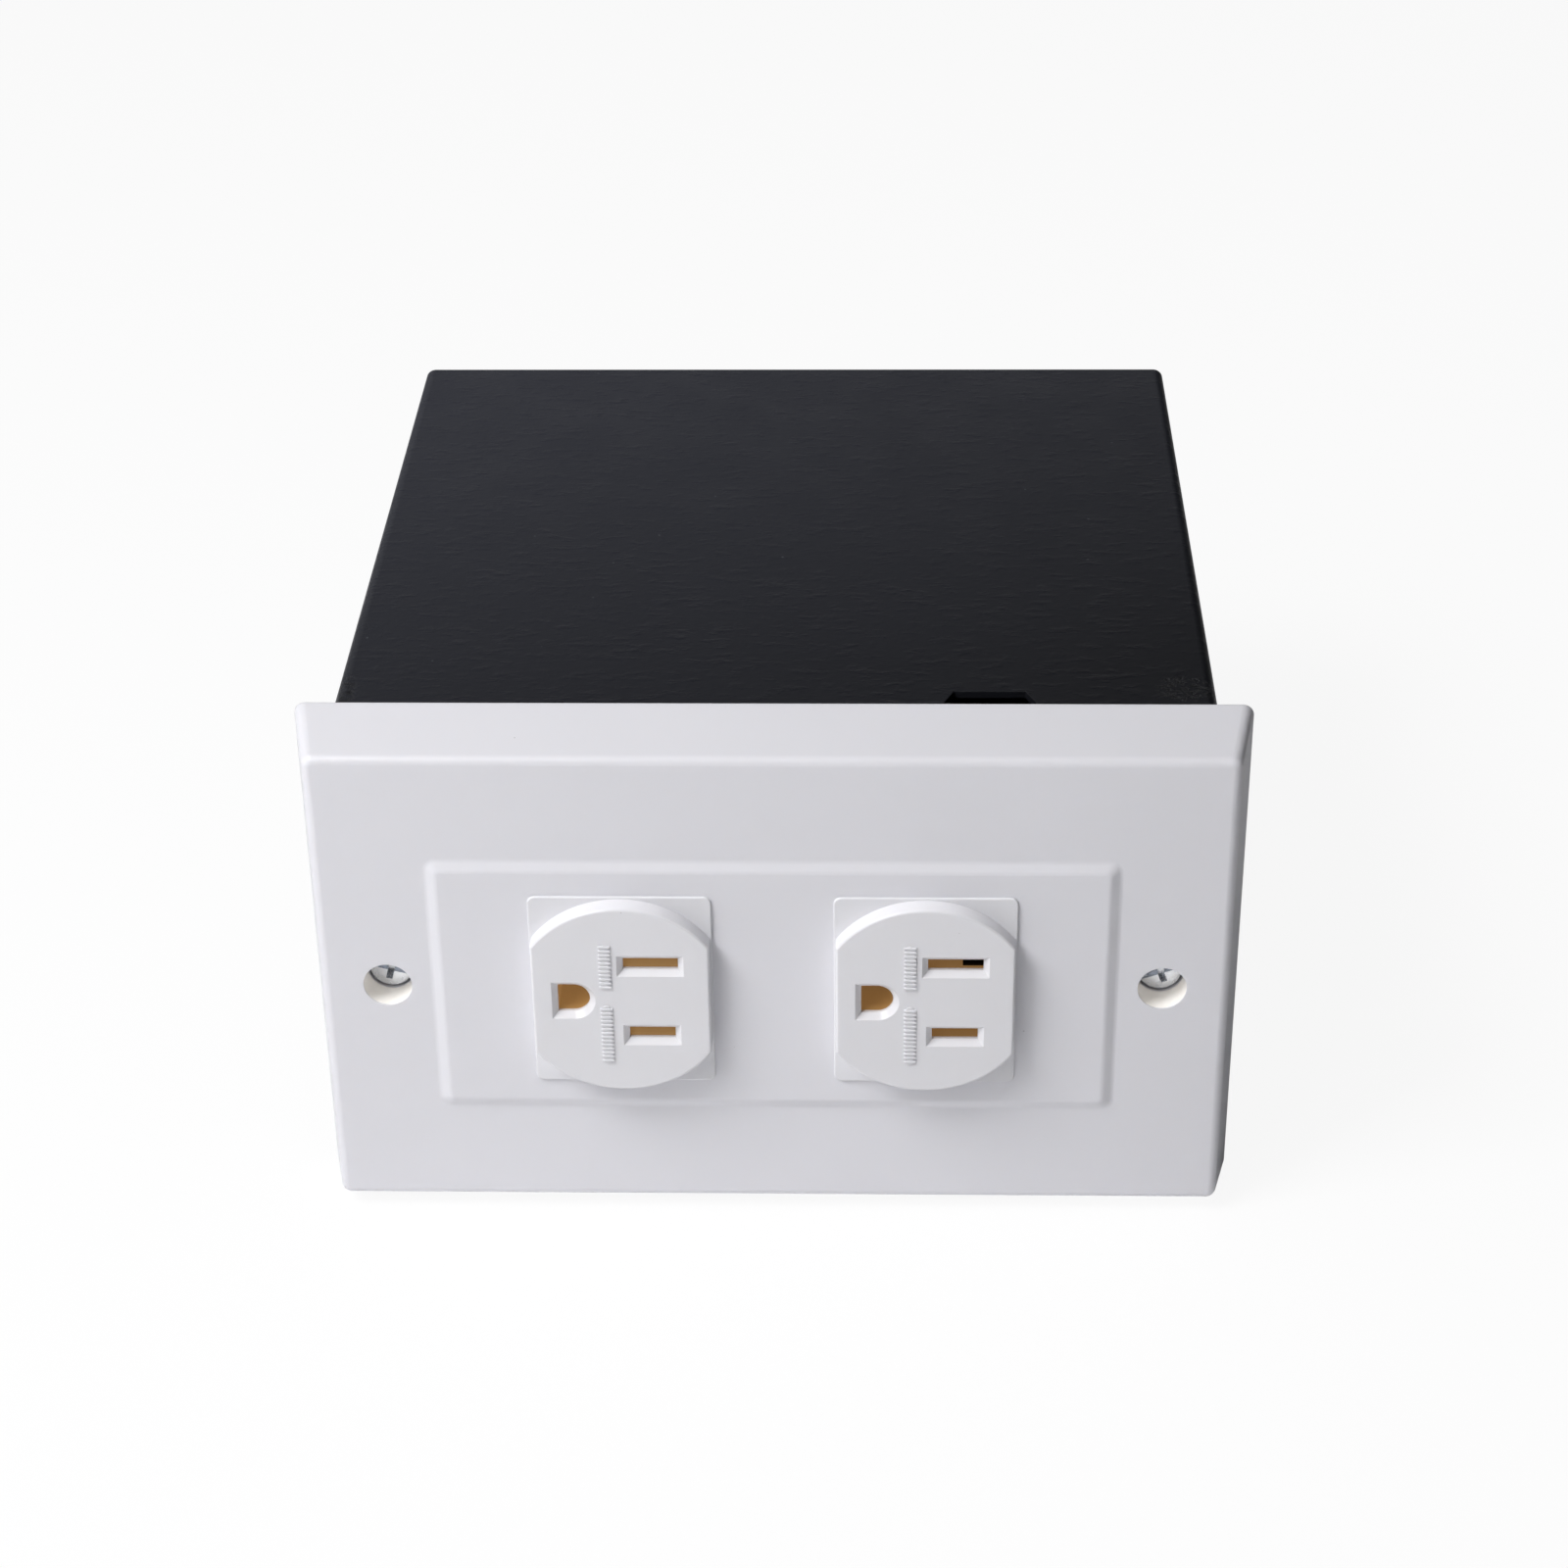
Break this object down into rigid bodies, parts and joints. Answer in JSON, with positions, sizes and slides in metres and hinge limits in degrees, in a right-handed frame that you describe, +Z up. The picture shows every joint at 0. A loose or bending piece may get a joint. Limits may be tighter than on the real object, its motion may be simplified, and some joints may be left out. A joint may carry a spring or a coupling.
{
  "type": "two-receptacle wall outlet box",
  "caption": "Two grounded tamper-resistant receptacles side by side in a wide bevelled cover plate, screwed to a deep sheet-metal wiring box with a rear cable clamp.",
  "frame": {"origin": "centre of the cover plate's rear rim, in the wall's plane", "axes": "+X right as seen from the front, +Y into the wall, +Z up; the receptacles face -Y"},
  "size_m": [0.1442, 0.1651, 0.0866],
  "materials": {
    "white_cover": "satin moulded, faint flow marks",
    "white_receptacle": "satin moulded",
    "black_powder_coat": "satin black powder coat, fine orange peel",
    "brown_plastic": "moulded, faintly glossy",
    "rear_plastic": "dark grey, fine grain",
    "zinc_plated_steel": "bright zinc plate",
    "galvanised_steel": "dull zinc coat",
    "spring_steel": "bright drawn wire",
    "brass": "bright stamped",
    "tinned_brass": "tin plate",
    "boot_vinyl": "soft black vinyl",
    "wire_black": "smooth insulation",
    "wire_white": "smooth insulation",
    "wire_green": "smooth insulation",
    "splice_plastic": "grey moulded",
    "green_screw": "green dyed zinc",
    "cast_zinc": "as cast, tumbled"
  },
  "bodies": {
    "housing": {"box_wrap": "black_powder_coat", "box_back_plate": "black_powder_coat", "front_cover": "white_cover", "quick_connects": "tinned_brass", "terminal_boots": "boot_vinyl", "hot_leads": "wire_black", "neutral_leads": "wire_white", "ground_leads": "wire_green", "bonding_lead": "wire_green", "ground_ring_terminal": "tinned_brass", "ground_screw": "green_screw", "cable_clamp_body": "cast_zinc", "cable_clamp_saddle": "cast_zinc", "cable_clamp_screws": "zinc_plated_steel", "cable_clamp_locknut": "galvanised_steel", "hot_splice": "splice_plastic", "neutral_splice": "splice_plastic", "ground_splice": "splice_plastic", "left_screw_bracket": "galvanised_steel", "left_receptacle_face": "white_receptacle", "left_contact_carrier": "brown_plastic", "left_shutter_spring": "spring_steel", "left_neutral_contact": "brass", "left_hot_contact": "brass", "left_ground_contact": "brass", "left_rear_cover": "rear_plastic", "left_body_screws": "zinc_plated_steel", "right_screw_bracket": "galvanised_steel", "right_receptacle_face": "white_receptacle", "right_contact_carrier": "brown_plastic", "right_shutter_spring": "spring_steel", "right_neutral_contact": "brass", "right_hot_contact": "brass", "right_ground_contact": "brass", "right_rear_cover": "rear_plastic", "right_body_screws": "zinc_plated_steel"},
    "left_shutter": {"left_shutter": "brown_plastic"},
    "right_shutter": {"right_shutter": "brown_plastic"},
    "left_cover_screw": {"left_cover_screw": "zinc_plated_steel"},
    "right_cover_screw": {"right_cover_screw": "zinc_plated_steel"}
  },
  "joints": [
    {"name": "left_shutter_slide", "type": "slide", "parent": "housing", "child": "left_shutter", "axis": [0, 0, -1], "range_m": [0, 0.0033], "stiffness_N_per_m": 60, "springref_m": -0.003, "deforming": ["left_shutter_spring"]},
    {"name": "right_shutter_slide", "type": "slide", "parent": "housing", "child": "right_shutter", "axis": [0, 0, -1], "range_m": [-0.00248, 0.00082], "stiffness_N_per_m": 60, "springref_m": -0.00548, "deforming": ["right_shutter_spring"]},
    {"name": "left_cover_screw_turn", "type": "hinge", "parent": "housing", "child": "left_cover_screw", "pos_m": [-0.0595, 0, 0], "axis": [0, -1, 0], "continuous": true},
    {"name": "right_cover_screw_turn", "type": "hinge", "parent": "housing", "child": "right_cover_screw", "pos_m": [0.0595, 0, 0], "axis": [0, -1, 0], "continuous": true}
  ]
}
